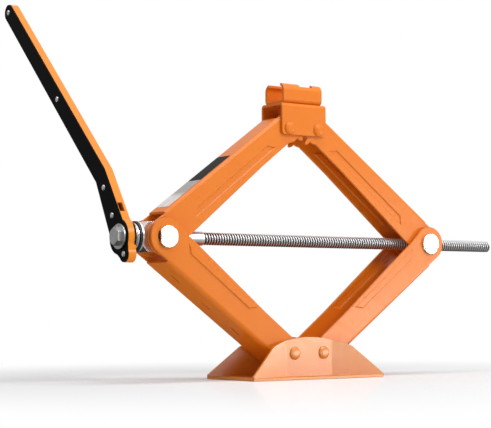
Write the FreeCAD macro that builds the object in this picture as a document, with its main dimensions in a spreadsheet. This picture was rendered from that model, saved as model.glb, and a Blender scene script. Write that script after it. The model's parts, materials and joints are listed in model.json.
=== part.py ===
"""Scissor jack: four pressed arms on geared ends, a lead screw between two trunnions, and a ratchet wrench.

Frame: X runs along the lead screw, towards its free end. Y runs across the jack. Z is up.
The origin is on the floor, at the middle of the base. Lengths are millimetres and angles are degrees.
"""
import FreeCAD, Part
import math
import os
import re
from types import SimpleNamespace

import Sketcher
from FreeCAD import Placement, Rotation, Vector

# Driving sizes: alias, value, meaning
SIZES = (
    ("arm_length", 178.5, "from a lower or upper pin to the trunnion"),
    ("lift_angle", 37.6, "slope of the arms as modelled"),
    ("gear_module", 2.9, "of the toothed arm ends"),
    ("gear_teeth", 12, "on a full circle of an arm end"),
    ("gear_teeth_cut", 4, "teeth that an arm end really has"),
    ("gear_backlash", 0.5, "total, at the pitch circle"),
    ("gear_addendum", 2.6, "tooth tip above the pitch circle"),
    ("gear_dedendum", 3.4, "tooth root below the pitch circle"),
    ("pressure_angle", 20, "of the involute teeth"),
    ("plate", 2.5, "thickness of the pressed sheet"),
    ("lower_arm_width", 38.8, "over the flanges of a lower arm"),
    ("nest_clearance", 0.3, "between flanges that slide over each other"),
    ("joint_washer", 2.1, "thickness of the washers between an upper and a lower arm"),
    ("joint_washer_radius", 14, "of those washers"),
    ("joint_clearance", 0.15, "on each side of those washers"),
    ("arm_end_radius", 17.4, "round flange end at the trunnion"),
    ("web_offset_pin", 15.2, "outer face of the web, from the arm's axis, at the pin"),
    ("web_offset_trunnion", 19.2, "the same, at the trunnion"),
    ("web_start", 4, "web's first edge, from the pin"),
    ("web_setback", 14, "web's last edge, from the trunnion"),
    ("relief_radius", 1.6, "notch that ends the web at the trunnion"),
    ("edge_offset_pin", 11.6, "free edge of the flange, from the arm's axis, at the pin"),
    ("edge_offset_trunnion", 15, "the same, at the trunnion"),
    ("edge_flare_start", 130, "where the free edge starts to flare, from the trunnion"),
    ("edge_flare_end", 28, "where the flare ends, from the trunnion"),
    ("arm_bend_radius", 3.8, "outer radius of the arm's bends"),
    ("bead_width", 7, "of a stiffening bead"),
    ("bead_depth", 1, "of a stiffening bead"),
    ("bead_bevel", 0.9, "of a bead's edges"),
    ("lower_bead_start", 60, "bead of a lower arm, from the pin"),
    ("lower_bead_end", 22, "the same bead's end, from the trunnion"),
    ("lower_bead_offset", 6, "the same bead's line, from the arm's axis towards the free edge"),
    ("upper_bead_start", 24, "bead of an upper arm, from the pin"),
    ("upper_bead_end", 38, "the same bead's end, from the trunnion"),
    ("upper_bead_offset", 2.5, "the same bead's line, from the arm's axis towards the free edge"),
    ("web_slot_length", 12, "drain slot in a lower arm's web"),
    ("web_slot_width", 3.2, "of the drain slot"),
    ("web_slot_start", 57, "first drain slot's middle, from the pin"),
    ("web_slot_step", 41, "from a drain slot to the next"),
    ("web_slot_count", 3, "drain slots in a lower arm"),
    ("pin_radius", 4.8, "rivet pins of the base and the cap"),
    ("pin_head_radius", 6.3, "domed heads of those pins"),
    ("pin_head_height", 2.2, "of the domed heads"),
    ("running_clearance", 0.05, "radial, of every shaft in its hole"),
    ("lower_pin_height", 24.6, "of the base pins above the floor"),
    ("base_length", 155.4, "of the foot plate"),
    ("base_width", 79.4, "of the foot plate"),
    ("base_wall_height", 40, "of the side walls at their crown"),
    ("base_shoulder_height", 31, "of the side walls where the slopes start"),
    ("base_shoulder", 47, "half length of the crown"),
    ("base_toe_height", 4, "of the side walls at the foot plate's ends"),
    ("base_fold", 28, "where the side walls fold outwards, from the middle"),
    ("base_fold_radius", 9, "of those folds"),
    ("cap_length", 53, "of the top cap"),
    ("cap_drop", 6.1, "cap's lower edge, below the upper pins"),
    ("cap_rise", 25.2, "cap's top face, above the upper pins"),
    ("cap_bend_radius", 3.6, "outer radius of the cap's bends"),
    ("cap_corner_radius", 4, "of the cap's lower corners"),
    ("saddle_length", 46.5, "of the lifting saddle"),
    ("saddle_width", 30.8, "over the saddle's walls"),
    ("saddle_height", 19.8, "of those walls"),
    ("saddle_foot_radius", 4.5, "outer radius of the bends at the saddle's foot"),
    ("saddle_lip_radius", 7, "outer radius of the bends at the saddle's lips"),
    ("saddle_opening", 19, "between the lips"),
    ("saddle_notch_length", 15.6, "notch in the saddle's lips"),
    ("saddle_notch_centre", 4.9, "notch's middle, from the saddle's"),
    ("saddle_notch_depth", 3, "of that notch"),
    ("journal_radius", 10.2, "trunnion journals in the arms"),
    ("journal_flat", 8.4, "flat of the thrust trunnion's journals, from their axis"),
    ("journal_proud", 2.6, "journals beyond the lower arms"),
    ("stake_radius", 1.6, "stake marks in the nut trunnion's journals"),
    ("stake_depth", 1.2, "of those marks"),
    ("stake_count", 3, "stake marks on each journal"),
    ("trunnion_height", 28, "of the trunnion blocks"),
    ("trunnion_inner_reach", 12, "of a block towards the middle"),
    ("trunnion_chamfer", 5, "of the blocks' long edges"),
    ("thrust_outer_reach", 21.5, "of the thrust block towards the wrench"),
    ("nut_outer_reach", 13, "of the nut block towards the free end"),
    ("screw_radius", 6, "of the lead screw's thread"),
    ("screw_shank_radius", 6.6, "of the plain shank"),
    ("screw_shank_reach", 50.3, "shank's end, from the thrust trunnion's axis"),
    ("screw_overhang", 101, "screw's free end, beyond the nut trunnion's axis"),
    ("screw_chamfer", 3, "of the free end"),
    ("collar_radius", 12.4, "of the screw's thrust collar"),
    ("collar_length", 1.9, "of the thrust collar"),
    ("race_radius", 14.6, "of the inner thrust race"),
    ("outer_race_radius", 13.2, "of the outer thrust race"),
    ("race_thickness", 1.5, "of both thrust races"),
    ("ball_radius", 1.4, "of the thrust balls"),
    ("ball_count", 10, "in the thrust bearing"),
    ("ball_circle_radius", 10.6, "of the balls' centres"),
    ("cage_radius", 14.4, "of the dark ball cage"),
    ("cage_thickness", 1.6, "of the ball cage"),
    ("bearing_clearance", 0.05, "between thrust balls and races"),
    ("drive_flats", 12, "across the flats of the screw's drive end"),
    ("drive_clearance", 0.05, "of the ratchet wheel on the drive flats"),
    ("wrench_gap", 0.4, "between the collar and the wrench"),
    ("wrench_thickness", 9.2, "of the wrench frame"),
    ("wrench_head_radius", 16.6, "of the wrench head"),
    ("wrench_head_offset", 3, "head's centre, from the screw's axis"),
    ("wrench_lobe_radius", 7.6, "of the lobe under the head"),
    ("wrench_lobe_across", -6.2, "lobe's centre, across the jack"),
    ("wrench_lobe_level", -16.2, "lobe's centre, above the screw"),
    ("wrench_neck_root_width", 27, "of the neck at the head's centre"),
    ("wrench_neck_width", 19, "of the neck at the bend"),
    ("wrench_bend_across", 37.2, "middle of the bend, across the jack"),
    ("wrench_bend_rise", 58.4, "middle of the bend, above the screw"),
    ("wrench_tip_across", 231.6, "end rivet, across the jack"),
    ("wrench_tip_rise", 244.6, "end rivet, above the screw"),
    ("wrench_handle_width", 19, "next to the bend"),
    ("wrench_tip_width", 17, "at the end rivet"),
    ("neck_rivet_share", 0.8, "neck rivet's place along the neck"),
    ("handle_rivet_share", 0.44, "middle rivet's place along the handle"),
    ("window_reach", 20, "window's lower end, from the head's centre"),
    ("window_length", 10, "of the lever window along the neck"),
    ("window_rear", 2.6, "window's rear edge, from the wrench's rear face"),
    ("window_depth", 5, "of the window along the screw"),
    ("cover_inset", 0.2, "front cover's edge, inside the frame's"),
    ("wrench_wall", 2.2, "side wall of the hollow handle"),
    ("wrench_floor", 2, "back wall of the hollow handle"),
    ("cover_thickness", 1.2, "of the wrench's covers"),
    ("cover_clearance", 0.1, "around the covers"),
    ("rear_cover_radius", 14.6, "of the round rear cover"),
    ("cover_bore_clearance", 0.3, "of the covers around the ratchet wheel's hub"),
    ("wheel_radius", 11, "tips of the ratchet wheel"),
    ("wheel_teeth", 18, "of the ratchet wheel"),
    ("wheel_tooth_depth", 1.5, "of the ratchet wheel"),
    ("wheel_hub_radius", 8.6, "of the ratchet wheel's hub"),
    ("wheel_phase", 12.5, "first tooth gap, turned to meet the pawl's nose"),
    ("wheel_clearance", 0.4, "between the wheel and its chamber"),
    ("pawl_across", 14.7, "pawl pin, across the jack"),
    ("pawl_rise", 20, "pawl pin, above the screw"),
    ("pawl_radius", 4.2, "of the pawl's round end"),
    ("pawl_nose_width", 3.2, "of the pawl's nose"),
    ("pawl_nose_length", 18, "from the pawl's pin"),
    ("pawl_nose_tilt", 30, "of the nose, from the line to the screw's axis"),
    ("pawl_tail_length", 9, "from the pawl's pin"),
    ("pawl_spring_radius", 1.5, "of the pawl spring"),
    ("pawl_spring_length", 5.4, "of the pawl spring, pressed together"),
    ("spring_clearance", 0.3, "between the pawl's tail and its spring"),
    ("rivet_radius", 1.7, "of the wrench rivets"),
    ("rivet_head_radius", 2.8, "of the wrench rivets' heads"),
    ("rivet_head_height", 0.9, "of the wrench rivets' heads"),
    ("rivet_crown_radius", 1.7, "flat middle of the wrench rivets' heads"),
    ("rivet_brow_radius", 2.6, "of the wrench rivets' heads at half their height"),
    ("drive_bolt_radius", 3.9, "of the drive bolt's thread"),
    ("drive_bolt_length", 16, "of the drive bolt in the screw"),
    ("drive_bolt_flats", 15, "across the flats of the drive bolt's head"),
    ("drive_bolt_head", 5, "height of the drive bolt's head"),
    ("drive_bolt_crown_radius", 7, "flat top of the drive bolt's head"),
    ("drive_washer_radius", 11.6, "of the washer under that head"),
    ("drive_washer_thickness", 1.6, "of that washer"),
)

# Repeated formulas, in the sheet's words
PITCH_RADIUS = "(gear_module * gear_teeth / 2)"
UPPER_ARM_WIDTH = "(lower_arm_width - 2 * plate - 2 * joint_washer - 4 * joint_clearance)"
BLOCK_WIDTH = f"({UPPER_ARM_WIDTH} - 2 * plate - 2 * nest_clearance)"
BASE_INSIDE = "(lower_arm_width + 2 * nest_clearance)"
CAP_INSIDE = f"({UPPER_ARM_WIDTH} + 2 * nest_clearance)"
PIN_HOLE = "(pin_radius + running_clearance)"
JOURNAL_HOLE = "(journal_radius + running_clearance)"
SHANK_HOLE = "(screw_shank_radius + running_clearance)"
BALL_GAP = "(2 * ball_radius + 2 * bearing_clearance)"
BEARING_STACK = f"(thrust_outer_reach + 2 * race_thickness + {BALL_GAP})"
WRENCH_REAR = f"({BEARING_STACK} + collar_length + wrench_gap)"
HUB_FACE = f"({WRENCH_REAR} + wrench_thickness + wheel_clearance)"

doc = FreeCAD.newDocument("scissor_jack")
sheet = doc.addObject("Spreadsheet::Sheet", "Sizes")
for row, (alias, value, meaning) in enumerate(SIZES, 1):
    sheet.set(f"A{row}", alias)
    sheet.set(f"B{row}", str(value))
    sheet.set(f"C{row}", meaning)
    sheet.setAlias(f"B{row}", alias)
doc.recompute()
size = SimpleNamespace(**{alias: float(sheet.get(alias)) for alias, value, meaning in SIZES})

AXIS = {"X": Vector(1, 0, 0), "Y": Vector(0, 1, 0), "Z": Vector(0, 0, 1)}
NODES = []


def in_sheet(formula):
    """Write a formula's size names as cells of the sheet."""
    def cell(word):
        """Cell of a size name; any other word stays as it is."""
        return "Sizes." + word.group() if hasattr(size, word.group()) else word.group()

    return re.sub(r"[a-z_]{3,}", cell, formula)


def bind(thing, **links):
    """Tie properties to formulas."""
    for target, formula in links.items():
        thing.setExpression(target, in_sheet(formula))


def bind_place(thing, x, y, z):
    """Tie a placement's base point to formulas."""
    for letter, formula in zip("xyz", (x, y, z)):
        thing.setExpression(f"Placement.Base.{letter}", in_sheet(formula))


def block(name, lengths, centre=("0", "0", "0")):
    """Box with its middle at a point."""
    box = doc.addObject("Part::Box", name)
    bind(box, Length=lengths[0], Width=lengths[1], Height=lengths[2])
    bind_place(box, *(f"{middle} - ({length}) / 2" for middle, length in zip(centre, lengths)))
    return box


def rod(name, radius, length, axis, centre=("0", "0", "0")):
    """Cylinder along a main axis with its middle at a point."""
    cylinder = doc.addObject("Part::Cylinder", name)
    bind(cylinder, Radius=radius, Height=length)
    cylinder.Placement.Rotation = Rotation(AXIS["Z"], AXIS[axis])
    start = [f"{middle} - ({length}) / 2" if letter == axis else middle
             for middle, letter in zip(centre, "XYZ")]
    bind_place(cylinder, *start)
    return cylinder


def six_sided(name, flats, length, start):
    """Hexagonal bar along X, from a start towards +X."""
    prism = doc.addObject("Part::Prism", name)
    prism.Polygon = 6
    bind(prism, Circumradius=f"({flats}) / 2 / cos(30)", Height=length)
    prism.Placement.Rotation = Rotation(AXIS["Z"], AXIS["X"])
    bind_place(prism, start, "0", "0")
    return prism


def fuse(name, pieces):
    """Join pieces into one."""
    joined = doc.addObject("Part::MultiFuse", name)
    joined.Shapes = pieces
    return joined


def overlap(name, pieces):
    """Keep what all pieces share."""
    shared = doc.addObject("Part::MultiCommon", name)
    shared.Shapes = pieces
    return shared


def cut(name, piece, tools):
    """Take one or more tools out of a piece."""
    result = doc.addObject("Part::Cut", name)
    result.Base = piece
    result.Tool = tools[0] if len(tools) == 1 else fuse(name + "_tools", tools)
    return result


def mirrored(name, piece, normal):
    """Copy of a piece on the other side of a plane through the origin."""
    copy = doc.addObject("Part::Mirroring", name)
    copy.Source = piece
    copy.Normal = normal
    return copy


def sketched_body(name, plane, corners):
    """Body with a closed outline, whose corners are pairs of formulas."""
    body = doc.addObject("PartDesign::Body", name)
    sketch = body.newObject("Sketcher::SketchObject", name + "_outline")
    sketch.AttachmentSupport = [(next(item for item in body.Origin.OriginFeatures if item.Role == plane), "")]
    sketch.MapMode = "FlatFace"
    count = len(corners)
    ring = [Rotation(AXIS["Z"], 360 * index / count).multVec(Vector(10, 0, 0)) for index in range(count)]
    for index in range(count):
        sketch.addGeometry(Part.LineSegment(ring[index], ring[(index + 1) % count]))
    for index in range(count):
        sketch.addConstraint(Sketcher.Constraint("Coincident", index, 2, (index + 1) % count, 1))
    for index, corner in enumerate(corners):
        for kind, formula, start in zip(("DistanceX", "DistanceY"), corner, (ring[index].x, ring[index].y)):
            constraint = sketch.addConstraint(Sketcher.Constraint(kind, -1, 1, index, 1, start))
            sketch.setExpression(f"Constraints[{constraint}]", in_sheet(formula))
    return body, sketch


def padded(name, plane, corners, depth):
    """Prism with its middle in an origin plane."""
    body, sketch = sketched_body(name, plane, corners)
    pad = body.newObject("PartDesign::Pad", name + "_pad")
    pad.Profile = sketch
    pad.SideType = "Symmetric"
    bind(pad, Length=depth)
    doc.recompute()
    return body


def turned(name, corners):
    """Body turned about X, from pairs of formulas: along the axis, and out from it."""
    body, sketch = sketched_body(name, "XZ_Plane", corners)
    turning = body.newObject("PartDesign::Revolution", name + "_turning")
    turning.Profile = sketch
    turning.ReferenceAxis = (sketch, ["H_Axis"])
    turning.Angle = 360
    doc.recompute()
    return body


def washer(name, bore, radius, start, length):
    """Flat ring turned about X, from a start towards +X."""
    end = f"({start}) + {length}"
    return turned(name, ((start, bore), (start, radius), (end, radius), (end, bore)))


def rounded(body, radius, test):
    """Round the edges of a body that pass a test of their middle and direction."""
    base = body.Tip
    names = []
    for index, edge in enumerate(base.Shape.Edges, 1):
        middle = edge.valueAt((edge.FirstParameter + edge.LastParameter) / 2)
        if test(edge, middle):
            names.append(f"Edge{index}")
    fillet = body.newObject("PartDesign::Fillet", f"{body.Name}_round{len(body.Group)}")
    fillet.Base = (base, names)
    bind(fillet, Radius=radius)
    doc.recompute()
    return body


def bevelled(body, length, test):
    """Bevel the edges of a body that pass a test of their middle and direction."""
    base = body.Tip
    names = []
    for index, edge in enumerate(base.Shape.Edges, 1):
        middle = edge.valueAt((edge.FirstParameter + edge.LastParameter) / 2)
        if test(edge, middle):
            names.append(f"Edge{index}")
    bevel = body.newObject("PartDesign::Chamfer", f"{body.Name}_bevel{len(body.Group)}")
    bevel.Base = (base, names)
    bind(bevel, Size=length)
    doc.recompute()
    return body


def along(edge, letter):
    """Whether a straight edge runs along a main axis."""
    if edge.Curve.TypeId != "Part::GeomLine":
        return False
    return abs(abs(edge.tangentAt(edge.FirstParameter).dot(AXIS[letter])) - 1) < 1e-6


def node(thing, label, placement=Placement()):
    """Name a finished piece and put it in its place."""
    thing.Label = label
    thing.Placement = placement
    NODES.append(thing)


# Places that several pieces share
pitch_radius = size.gear_module * size.gear_teeth / 2
slope = math.radians(size.lift_angle)
trunnion_x = pitch_radius + size.arm_length * math.cos(slope)
trunnion_z = size.lower_pin_height + size.arm_length * math.sin(slope)
upper_pin_z = size.lower_pin_height + 2 * size.arm_length * math.sin(slope)
THRUST_PLACE = Placement(Vector(-trunnion_x, 0, trunnion_z), Rotation())
wrench_rear_x = -(trunnion_x + size.thrust_outer_reach + 2 * size.race_thickness + 2 * size.ball_radius
                  + 2 * size.bearing_clearance + size.collar_length + size.wrench_gap)
NUT_PLACE = Placement(Vector(trunnion_x, 0, trunnion_z), Rotation())


# Arms

def involute_tooth():
    """Solid of one gear tooth along +X, as wide as the widest arm, with its foot inside the root circle."""
    root = pitch_radius - size.gear_dedendum
    tip = pitch_radius + size.gear_addendum
    pressure = math.radians(size.pressure_angle)
    base_circle = pitch_radius * math.cos(pressure)
    thickness = math.pi * size.gear_module / 2 - size.gear_backlash / 2

    def flank(radius, side):
        """Point of a tooth's flank at a radius."""
        local = math.acos(min(1, base_circle / radius))
        turn = thickness / (2 * pitch_radius) + (math.tan(pressure) - pressure) - (math.tan(local) - local)
        return Vector(radius * math.cos(side * turn), 0, radius * math.sin(side * turn))

    middle = (base_circle + tip) / 2
    foot = root / 2
    low, high = (flank(base_circle, side) for side in (-1, 1))
    low_tip, high_tip = (flank(tip, side) for side in (-1, 1))
    low_foot = low * (foot / base_circle)
    high_foot = high * (foot / base_circle)
    edges = [
        Part.LineSegment(low_foot, low),
        Part.Arc(low, flank(middle, -1), low_tip),
        Part.Arc(low_tip, Vector(tip, 0, 0), high_tip),
        Part.Arc(high_tip, flank(middle, 1), high),
        Part.LineSegment(high, high_foot),
        Part.LineSegment(high_foot, low_foot),
    ]
    face = Part.Face(Part.Wire([edge.toShape() for edge in edges]))
    face.translate(Vector(0, -size.lower_arm_width / 2, 0))
    return face.extrude(Vector(0, size.lower_arm_width, 0))


def gear_teeth(name, first_angle):
    """The teeth that an arm end has, from a first angle above the arm's axis."""
    step = 360 / size.gear_teeth
    tooth = involute_tooth()
    teeth = [tooth.rotated(Vector(), AXIS["Y"], -(first_angle + step * index))
             for index in range(round(size.gear_teeth_cut))]
    feature = doc.addObject("Part::Feature", name)
    feature.Shape = Part.makeCompound(teeth)
    return feature


def bead(name, level, root, crown, outwards):
    """Panel along a flange between two Y heights, narrower towards the web, with a bevelled crown."""
    first = f"{level}_bead_start"
    last = f"(arm_length - {level}_bead_end)"
    low = f"({level}_bead_offset - bead_width / 2)"
    high = f"({level}_bead_offset + bead_width / 2)"
    panel = padded(name, "XZ_Plane", (
        (f"{first} + bead_width", low),
        (f"{last} - bead_width", low),
        (last, high),
        (first, high),
    ), f"abs(({crown}) - ({root}))")
    crown_side = 1 if outwards else -1
    bevelled(panel, "bead_bevel",
             lambda edge, middle: not along(edge, "Y") and middle.y * crown_side > 0)
    bind_place(panel, "0", f"(({crown}) + ({root})) / 2", "0")
    return panel


def arm(level, side_name, width, first_tooth):
    """Pressed channel arm: pin at the origin, trunnion at +X, web below and free edges above.

    The flanges end in gear teeth round the pin and in a round eye round the trunnion. A lower arm's
    beads stand out and its web is slotted; an upper arm's beads are pressed inwards.
    """
    name = f"{level}_{side_name}_arm"
    side = padded(name + "_side", "XZ_Plane", (
        ("0", "-(web_offset_pin + plate)"),
        ("arm_length - web_setback", "-(web_offset_trunnion + plate)"),
        ("arm_length - web_setback", "-(web_offset_trunnion - plate)"),
        ("arm_length", "-arm_end_radius"),
        ("arm_length", "arm_end_radius"),
        ("arm_length - arm_end_radius", "edge_offset_trunnion"),
        ("arm_length - edge_flare_end", "edge_offset_trunnion"),
        ("arm_length - edge_flare_start", "edge_offset_pin"),
        ("0", "edge_offset_pin"),
    ), width)
    root_disc = rod(name + "_root", f"{PITCH_RADIUS} - gear_dedendum", width, "Y")
    eye = rod(name + "_eye", "arm_end_radius", width, "Y", ("arm_length", "0", "0"))
    teeth = overlap(name + "_teeth", [
        gear_teeth(name + "_tooth_row", first_tooth),
        block(name + "_tooth_width", ("8 * gear_module * gear_teeth", width, "8 * gear_module * gear_teeth")),
    ])
    outline = fuse(name + "_outline", [side, root_disc, eye, teeth])

    reach = "4 * arm_end_radius"
    channel = padded(name + "_channel", "YZ_Plane", (
        (f"-{width} / 2", "0"),
        (f"{width} / 2", "0"),
        (f"{width} / 2", reach),
        (f"-{width} / 2", reach),
    ), "2 * arm_length + 8 * arm_end_radius")
    rounded(channel, "arm_bend_radius", lambda edge, middle: along(edge, "X") and abs(middle.z) < 1e-6)
    hollow = padded(name + "_hollow", "YZ_Plane", (
        (f"-{width} / 2 + plate", "plate"),
        (f"{width} / 2 - plate", "plate"),
        (f"{width} / 2 - plate", reach),
        (f"-{width} / 2 + plate", reach),
    ), "2 * arm_length + 8 * arm_end_radius")
    rounded(hollow, "arm_bend_radius - plate",
            lambda edge, middle: along(edge, "X") and abs(middle.z - size.plate) < 1e-6)
    taper = math.degrees(math.atan((size.web_offset_trunnion - size.web_offset_pin) / size.arm_length))
    for piece in (channel, hollow):
        piece.Placement = Placement(Vector(0, 0, -size.web_offset_pin), Rotation(AXIS["Y"], taper))

    inside = f"{width} - 2 * plate"
    open_ends = [
        block(name + "_open_pin_end", ("4 * arm_end_radius", inside, reach),
              ("web_start - 2 * arm_end_radius", "0", "0")),
        block(name + "_open_eye_end", ("4 * arm_end_radius", inside, reach),
              ("arm_length - web_setback + 2 * arm_end_radius", "0", "0")),
    ]
    relief = rod(name + "_relief", "relief_radius", width, "Y", (
        "arm_length - web_setback + relief_radius", "0", "-(web_offset_trunnion + relief_radius / 4)"))
    holes = [
        rod(name + "_pin_hole", PIN_HOLE, width, "Y"),
        rod(name + "_journal_hole", JOURNAL_HOLE, width, "Y", ("arm_length", "0", "0")),
    ]

    outer_face = f"({width} / 2)"
    inner_face = f"({width} / 2 - plate)"
    outwards = level == "lower"
    if outwards:
        ridge_reach = (f"{outer_face} - plate / 2", f"{outer_face} + bead_depth")
        groove_reach = (f"{inner_face} - plate", f"{inner_face} + bead_depth")
    else:
        ridge_reach = (f"{inner_face} + plate / 2", f"{inner_face} - bead_depth")
        groove_reach = (f"{outer_face} + plate", f"{outer_face} - bead_depth")
    ridge = bead(name + "_ridge", level, *ridge_reach, outwards)
    groove = bead(name + "_groove", level, *groove_reach, outwards)
    beads = [ridge, mirrored(name + "_ridge_behind", ridge, AXIS["Y"])]
    grooves = [groove, mirrored(name + "_groove_behind", groove, AXIS["Y"])]

    slots = []
    if level == "lower":
        for index in range(round(size.web_slot_count)):
            slots.append(block(f"{name}_slot_{index}", ("web_slot_length", "web_slot_width", "4 * plate"),
                               (f"web_slot_start + {index} * web_slot_step", "0", "-web_offset_trunnion")))

    pressing = overlap(name + "_pressing", [outline, channel])
    return cut(name, fuse(name + "_beaded", [cut(name + "_shell", pressing, [hollow, *open_ends]), *beads]),
               [relief, *holes, *grooves, *slots])


def build_arms():
    """Four arms in their places. A right arm's teeth stand half a step from a left arm's."""
    step = 360 / size.gear_teeth
    mesh = 180 - size.lift_angle
    left_tooth = mesh - step
    right_tooth = left_tooth - step / 2
    lower_turn = Rotation(AXIS["Y"], -size.lift_angle)
    upper_turn = Rotation(AXIS["Y"], size.lift_angle).multiply(Rotation(AXIS["X"], 180))
    half_turn = Rotation(AXIS["Z"], 180)
    for level, turn, height, width in (("lower", lower_turn, size.lower_pin_height, "lower_arm_width"),
                                       ("upper", upper_turn, upper_pin_z, UPPER_ARM_WIDTH)):
        left = arm(level, "left", width, left_tooth)
        node(left, f"{level}_left_arm", Placement(Vector(-pitch_radius, 0, height), half_turn.multiply(turn)))
        right = arm(level, "right", width, right_tooth)
        node(right, f"{level}_right_arm", Placement(Vector(pitch_radius, 0, height), turn))


# Base

def build_base():
    """Foot plate with two pressed side walls that fold outwards to the plate's corners."""
    floor = block("foot_plate", ("base_length", "base_width", "plate"), ("0", "0", "plate / 2"))
    inner = f"{BASE_INSIDE} / 2"
    outer = f"({inner} + plate)"
    toe = "base_width / 2"
    band = padded("wall_plan", "XY_Plane", (
        ("-base_length / 2", f"{toe} - plate"),
        ("-base_fold", inner),
        ("base_fold", inner),
        ("base_length / 2", f"{toe} - plate"),
        ("base_length / 2", toe),
        ("base_fold", outer),
        ("-base_fold", outer),
        ("-base_length / 2", toe),
    ), "2 * base_wall_height")
    rounded(band, "base_fold_radius",
            lambda edge, middle: along(edge, "Z") and abs(middle.x) < size.base_shoulder)
    rise = "(base_shoulder_height - base_toe_height) / (base_length / 2 - base_shoulder)"
    profile = padded("wall_profile", "XZ_Plane", (
        ("-base_length / 2", "0"),
        ("base_length / 2", "0"),
        ("base_length / 2", "base_toe_height"),
        ("0", f"base_toe_height + base_length / 2 * {rise}"),
        ("-base_length / 2", "base_toe_height"),
    ), "2 * base_width")
    sagitta = "(base_wall_height - base_shoulder_height)"
    crown_radius = f"((base_shoulder ^ 2 + {sagitta} ^ 2) / (2 * {sagitta}))"
    crown = rod("wall_crown", crown_radius, "2 * base_width", "Y",
                ("0", "0", f"base_wall_height - {crown_radius}"))
    wall = overlap("front_wall", [band, profile, crown])
    holes = [rod(f"base_hole_{side}", "pin_radius", "base_width", "Y",
                 (f"{sign}{PITCH_RADIUS}", "0", "lower_pin_height"))
             for side, sign in (("left", "-"), ("right", ""))]
    blank = fuse("base_blank", [floor, wall, mirrored("back_wall", wall, AXIS["Y"])])
    node(cut("base_plate", blank, holes), "base_plate")


def rivet_pin(name, grip, place):
    """Shouldered rivet pin across the jack, with two domed heads."""
    half = f"({grip}) / 2"
    dome = [(f"({half} + pin_head_height * {rise})", f"pin_head_radius * {reach}")
            for rise, reach in ((0, 1), (0.45, 0.94), (0.8, 0.74), (1, 0.42), (1, 0))]
    body = turned(name, (
        *((f"-{along_axis}", out) for along_axis, out in reversed(dome)),
        (f"-{half}", "pin_radius"),
        (half, "pin_radius"),
        *dome,
    ))
    node(body, name, Placement(place, Rotation(AXIS["Z"], 90)))


def build_pins():
    """Two rivet pins in the base and two in the cap."""
    for side, across in (("left", -pitch_radius), ("right", pitch_radius)):
        rivet_pin(f"base_pin_{side}", f"{BASE_INSIDE} + 2 * plate", Vector(across, 0, size.lower_pin_height))
        rivet_pin(f"cap_pin_{side}", f"{CAP_INSIDE} + 2 * plate", Vector(across, 0, upper_pin_z))


# Cap and saddle

def build_cap():
    """Folded top cap over the upper arms."""
    inner = f"{CAP_INSIDE} / 2"
    outer = f"({inner} + plate)"
    cap = padded("cap_fold", "YZ_Plane", (
        (f"-{outer}", "-cap_drop"),
        (f"-{inner}", "-cap_drop"),
        (f"-{inner}", "cap_rise - plate"),
        (inner, "cap_rise - plate"),
        (inner, "-cap_drop"),
        (outer, "-cap_drop"),
        (outer, "cap_rise"),
        (f"-{outer}", "cap_rise"),
    ), "cap_length")
    for radius, direction, level in (
            ("cap_bend_radius", "X", size.cap_rise),
            ("cap_bend_radius - plate", "X", size.cap_rise - size.plate),
            ("cap_corner_radius", "Y", -size.cap_drop)):
        rounded(cap, radius, lambda edge, middle, direction=direction, level=level: (
            along(edge, direction) and abs(middle.z - level) < 1e-6))
    holes = [rod(f"cap_hole_{side}", "pin_radius", "2 * lower_arm_width", "Y",
                 (f"{sign}{PITCH_RADIUS}", "0", "0"))
             for side, sign in (("left", "-"), ("right", ""))]
    node(cut("top_cap", cap, holes), "top_cap", Placement(Vector(0, 0, upper_pin_z), Rotation()))


def build_saddle():
    """Lifting saddle: a flat foot between two walls with rolled lips, and a notch in each lip."""
    outer = "(saddle_width / 2)"
    inner = f"({outer} - plate)"
    lip = f"({outer} - saddle_lip_radius - plate / 10)"
    fold = padded("saddle_fold", "YZ_Plane", (
        (f"-{outer}", "0"),
        (outer, "0"),
        (outer, "saddle_height"),
        (lip, "saddle_height"),
        (lip, "saddle_height - plate"),
        (inner, "saddle_height - plate"),
        (inner, "plate"),
        (f"-{inner}", "plate"),
        (f"-{inner}", "saddle_height - plate"),
        (f"-{lip}", "saddle_height - plate"),
        (f"-{lip}", "saddle_height"),
        (f"-{outer}", "saddle_height"),
    ), "saddle_length")
    far = size.saddle_width / 2
    for radius, level, across in (
            ("saddle_foot_radius", 0, far),
            ("saddle_foot_radius - plate", size.plate, far - size.plate),
            ("saddle_lip_radius", size.saddle_height, far),
            ("saddle_lip_radius - plate", size.saddle_height - size.plate, far - size.plate)):
        rounded(fold, radius, lambda edge, middle, level=level, across=across: (
            along(edge, "X") and abs(middle.z - level) < 1e-6 and abs(abs(middle.y) - across) < 1e-6))
    saddle = cut("saddle", fold, [
        block("saddle_mouth", ("2 * saddle_length", "saddle_opening", "2 * saddle_height"),
              ("0", "0", "plate + saddle_height")),
        block("saddle_notch", ("saddle_notch_length", "2 * saddle_width", "2 * saddle_notch_depth"),
              ("saddle_notch_centre", "0", "saddle_height"))])
    node(saddle, "saddle", Placement(Vector(0, 0, upper_pin_z + size.cap_rise), Rotation()))


# Trunnions, screw and thrust bearing

def trunnion_blank(name, left_reach, right_reach):
    """Block between the arms' flanges with chamfered long edges."""
    half = "trunnion_height / 2"
    low = f"({half} - trunnion_chamfer)"
    return padded(name + "_block", "XZ_Plane", (
        (f"-({left_reach})", f"-{low}"),
        (f"-({left_reach}) + trunnion_chamfer", f"-{half}"),
        (f"({right_reach}) - trunnion_chamfer", f"-{half}"),
        (right_reach, f"-{low}"),
        (right_reach, low),
        (f"({right_reach}) - trunnion_chamfer", half),
        (f"-({left_reach}) + trunnion_chamfer", half),
        (f"-({left_reach})", low),
    ), BLOCK_WIDTH)


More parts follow.
